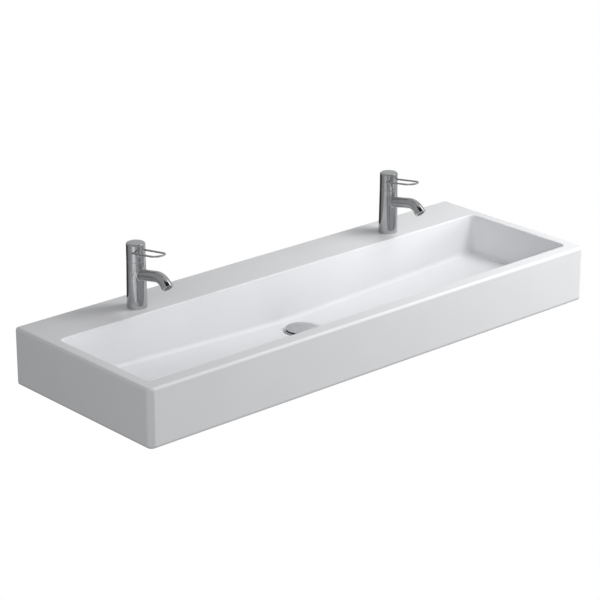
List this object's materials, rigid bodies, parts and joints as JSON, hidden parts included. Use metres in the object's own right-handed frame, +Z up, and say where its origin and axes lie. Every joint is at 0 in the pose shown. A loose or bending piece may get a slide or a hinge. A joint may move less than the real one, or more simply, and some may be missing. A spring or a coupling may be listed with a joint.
{
  "type": "wall-hung double washbasin with mixer taps",
  "caption": "Wide white ceramic trough basin with a flat tap deck, sloping floor and domed waste plug, and chrome mixer taps with wire-loop levers.",
  "frame": {"origin": "on the wall plane, halfway along the width and halfway up the ceramic", "axes": "+X along the width towards the right tap, +Y into the wall, +Z up"},
  "size_m": [1.2, 0.421, 0.3272],
  "materials": {
    "white_glaze": "glossy white glaze",
    "chrome": "bright chrome plate",
    "brass": "turned bare brass",
    "steel": "zinc-plated steel",
    "rubber": "black moulded rubber",
    "grey_plastic": "moulded acetal",
    "cover_plastic": "glossy moulded plug",
    "disc_ceramic": "lapped alumina"
  },
  "bodies": {
    "basin": {"basin_ceramic": "white_glaze", "waste_body": "chrome", "waste_upper_seal": "rubber", "waste_lower_seal": "rubber", "waste_slip_washer": "grey_plastic", "waste_lock_nut": "brass", "plug_click_unit": "grey_plastic", "tap_left_body": "chrome", "tap_left_aerator_shell": "chrome", "tap_left_aerator_seal": "rubber", "tap_left_aerator_insert": "grey_plastic", "tap_left_base_gasket": "rubber", "tap_left_fixing_stud": "steel", "tap_left_fixing_pad": "rubber", "tap_left_fixing_washer": "steel", "tap_left_fixing_nut": "steel", "tap_left_port_seal": "rubber", "tap_left_fixed_disc": "disc_ceramic", "tap_left_cartridge_housing": "grey_plastic", "tap_left_cartridge_nut": "brass", "tap_left_ball_cover": "chrome", "tap_right_body": "chrome", "tap_right_aerator_shell": "chrome", "tap_right_aerator_seal": "rubber", "tap_right_aerator_insert": "grey_plastic", "tap_right_base_gasket": "rubber", "tap_right_fixing_stud": "steel", "tap_right_fixing_pad": "rubber", "tap_right_fixing_washer": "steel", "tap_right_fixing_nut": "steel", "tap_right_port_seal": "rubber", "tap_right_fixed_disc": "disc_ceramic", "tap_right_cartridge_housing": "grey_plastic", "tap_right_cartridge_nut": "brass", "tap_right_ball_cover": "chrome"},
    "plug": {"plug_dome": "chrome", "plug_seal": "rubber", "plug_plunger": "brass"},
    "tap_left_turn": {"tap_left_cartridge_rotor": "grey_plastic", "tap_left_stem_pin": "steel"},
    "tap_left_lift": {"tap_left_cartridge_stem": "brass", "tap_left_handle_cap": "chrome", "tap_left_handle_loop": "chrome", "tap_left_handle_grub_screw": "steel", "tap_left_handle_screw_cover": "cover_plastic"},
    "tap_left_disc": {"tap_left_moving_disc": "disc_ceramic", "tap_left_disc_carrier": "grey_plastic"},
    "tap_right_turn": {"tap_right_cartridge_rotor": "grey_plastic", "tap_right_stem_pin": "steel"},
    "tap_right_lift": {"tap_right_cartridge_stem": "brass", "tap_right_handle_cap": "chrome", "tap_right_handle_loop": "chrome", "tap_right_handle_grub_screw": "steel", "tap_right_handle_screw_cover": "cover_plastic"},
    "tap_right_disc": {"tap_right_moving_disc": "disc_ceramic", "tap_right_disc_carrier": "grey_plastic"}
  },
  "joints": [
    {"name": "plug_lift", "type": "slide", "parent": "basin", "child": "plug", "axis": [0, 0, 1], "range_m": [0, 0.008]},
    {"name": "tap_left_handle_turn", "type": "hinge", "parent": "basin", "child": "tap_left_turn", "pos_m": [-0.35, -0.066, 0.1525], "axis": [0, 0, 1], "range_deg": [-50, 50]},
    {"name": "tap_left_handle_lift", "type": "hinge", "parent": "tap_left_turn", "child": "tap_left_lift", "pos_m": [-0.35, -0.066, 0.1525], "axis": [-1, 0, 0], "range_deg": [0, 25]},
    {"name": "tap_left_disc_slide", "type": "slide", "parent": "tap_left_turn", "child": "tap_left_disc", "axis": [0, -1, 0], "range_m": [0, 0.00365]},
    {"name": "tap_right_handle_turn", "type": "hinge", "parent": "basin", "child": "tap_right_turn", "pos_m": [0.35, -0.066, 0.1525], "axis": [0, 0, 1], "range_deg": [-50, 50]},
    {"name": "tap_right_handle_lift", "type": "hinge", "parent": "tap_right_turn", "child": "tap_right_lift", "pos_m": [0.35, -0.066, 0.1525], "axis": [-1, 0, 0], "range_deg": [0, 25]},
    {"name": "tap_right_disc_slide", "type": "slide", "parent": "tap_right_turn", "child": "tap_right_disc", "axis": [0, -1, 0], "range_m": [0, 0.00365]}
  ],
  "couplings": [
    {"joint": "tap_left_disc_slide", "follows": "tap_left_handle_lift", "m_per_rad": 0.00828},
    {"joint": "tap_right_disc_slide", "follows": "tap_right_handle_lift", "m_per_rad": 0.00828}
  ]
}
